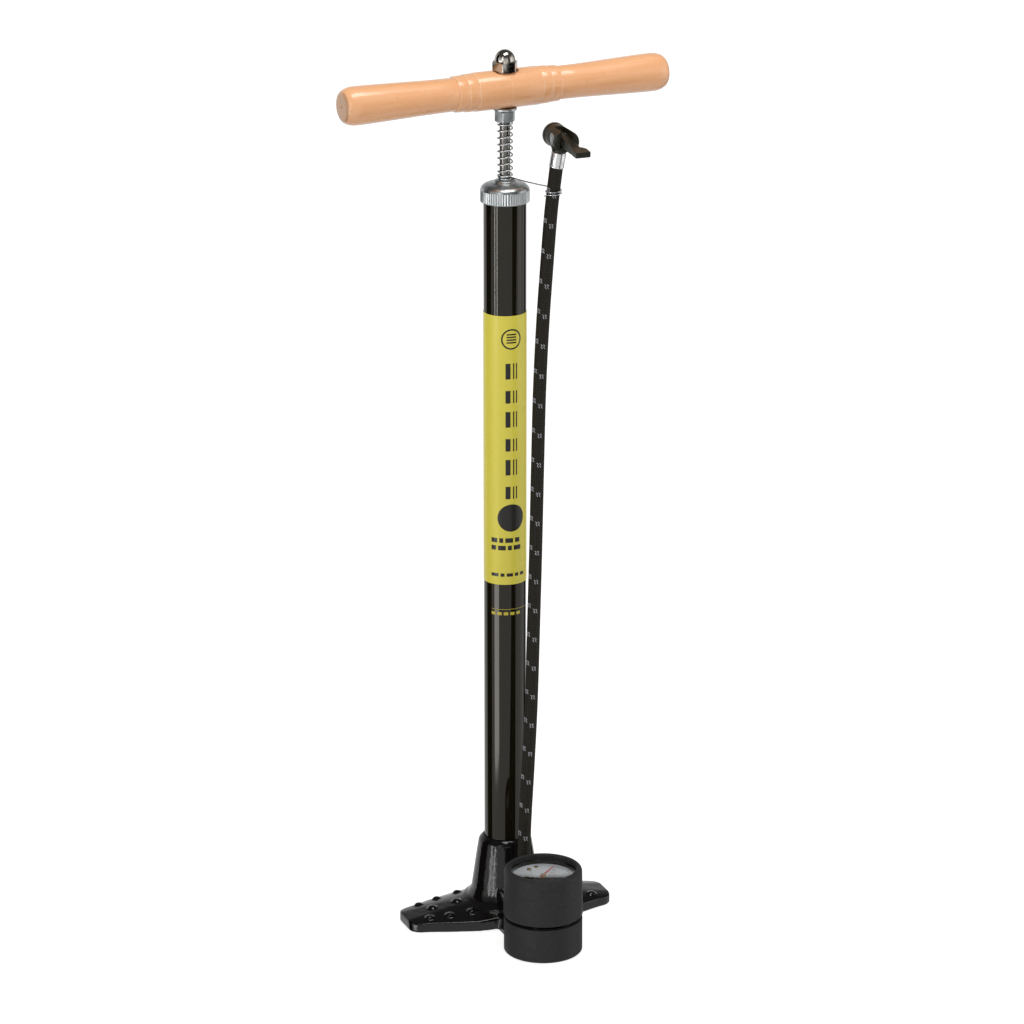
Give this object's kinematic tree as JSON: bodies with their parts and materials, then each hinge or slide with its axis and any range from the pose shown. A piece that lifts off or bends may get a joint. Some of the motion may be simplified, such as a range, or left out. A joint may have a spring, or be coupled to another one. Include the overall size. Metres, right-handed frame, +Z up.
{
  "type": "floor bike pump",
  "caption": "Upright floor pump for bicycle tyres: cast base with foot wings, round pressure gauge, slim barrel, sprung rod with turned wooden T-handle, hose with thumb-lever chuck.",
  "frame": {"origin": "on the floor, under the barrel's axis, on the casting's flat underside", "axes": "+Z up the barrel; +X along the foot wings to the right; -Y towards the gauge"},
  "size_m": [0.2642, 0.1448, 0.6832],
  "materials": {
    "black_cast": "gloss black enamel on a rough casting",
    "black_paint": "deep gloss",
    "label": "printed film",
    "black_plastic": "moulded satin",
    "grey_plastic": "moulded satin",
    "braid": "braided jacket with pale flecks",
    "rubber": "matt",
    "nylon": "natural nylon",
    "beech": "clear varnish",
    "steel": "bright drawn",
    "chrome": "polished",
    "zinc": "bright zinc plate",
    "aluminium": "polished",
    "brass": "turned",
    "dial": null,
    "red_paint": "satin",
    "glass": "clear"
  },
  "bodies": {
    "pump": {"base_casting": "black_cast", "barrel_gasket": "rubber", "barrel_tube": "black_paint", "label_sleeve": "label", "top_cap": "zinc", "rod_bush": "nylon", "valve_seat": "brass", "valve_spring": "steel", "hose_fitting": "brass", "lower_ferrule": "zinc", "hose": "braid", "upper_ferrule": "aluminium", "wire_clip": "steel", "chuck_body": "black_plastic", "chuck_pin": "zinc", "chuck_seal": "rubber", "chuck_collar": "black_plastic", "gauge_foot": "grey_plastic", "gauge_housing": "grey_plastic", "gauge_case": "steel", "gauge_stem": "brass", "bourdon_tube": "brass", "gauge_movement": "brass", "gauge_dial": "dial", "dial_rivet_left": "brass", "dial_rivet_right": "brass", "gauge_spacer": "black_plastic", "gauge_lens": "glass"},
    "buffer": {"buffer_spring": "steel"},
    "piston_seal": {"piston_ring": "rubber"},
    "rod_handle": {"pump_rod": "steel", "handle": "beech", "acorn_nut": "chrome", "handle_washer": "zinc", "handle_nut": "zinc", "piston_top_nut": "zinc", "piston_head": "nylon", "piston_washer": "zinc", "piston_nut": "zinc"},
    "lever": {"chuck_lever": "black_plastic"},
    "plunger": {"chuck_plunger": "brass"},
    "needle": {"gauge_needle": "red_paint", "gauge_arbor": "steel"},
    "check_valve": {"valve_disc": "rubber"}
  },
  "joints": [
    {"name": "buffer_travel", "type": "slide", "parent": "pump", "child": "buffer", "axis": [0, 0, 1], "range_m": [-0.022, 0], "stiffness_N_per_m": 1500, "springref_m": 0.005, "deforming": ["buffer_spring"]},
    {"name": "pump_stroke", "type": "slide", "parent": "buffer", "child": "piston_seal", "axis": [0, 0, 1], "range_m": [0, 0.48]},
    {"name": "handle_swivel", "type": "hinge", "parent": "piston_seal", "child": "rod_handle", "pos_m": [0, 0, 0.0535], "axis": [0, 0, 1], "continuous": true},
    {"name": "chuck_lever_flip", "type": "hinge", "parent": "pump", "child": "lever", "pos_m": [0.028, -0.0436, 0.6239], "axis": [-1, 0, 0], "range_deg": [0, 90]},
    {"name": "chuck_plunger_slide", "type": "slide", "parent": "pump", "child": "plunger", "axis": [0, 1, 0], "range_m": [0, 0.0012]},
    {"name": "gauge_needle_turn", "type": "hinge", "parent": "pump", "child": "needle", "pos_m": [0, -0.08, 0.0598], "axis": [0, 0, -1], "range_deg": [0, 270], "stiffness_Nm_per_rad": 0.0001, "springref_deg": -28.65},
    {"name": "check_valve_lift", "type": "slide", "parent": "pump", "child": "check_valve", "axis": [0, 0, 1], "range_m": [0, 0.0015], "stiffness_N_per_m": 60, "springref_m": -0.002, "deforming": ["valve_spring"]}
  ],
  "couplings": [
    {"joint": "chuck_plunger_slide", "follows": "chuck_lever_flip", "m_per_rad": 0.00076}
  ]
}
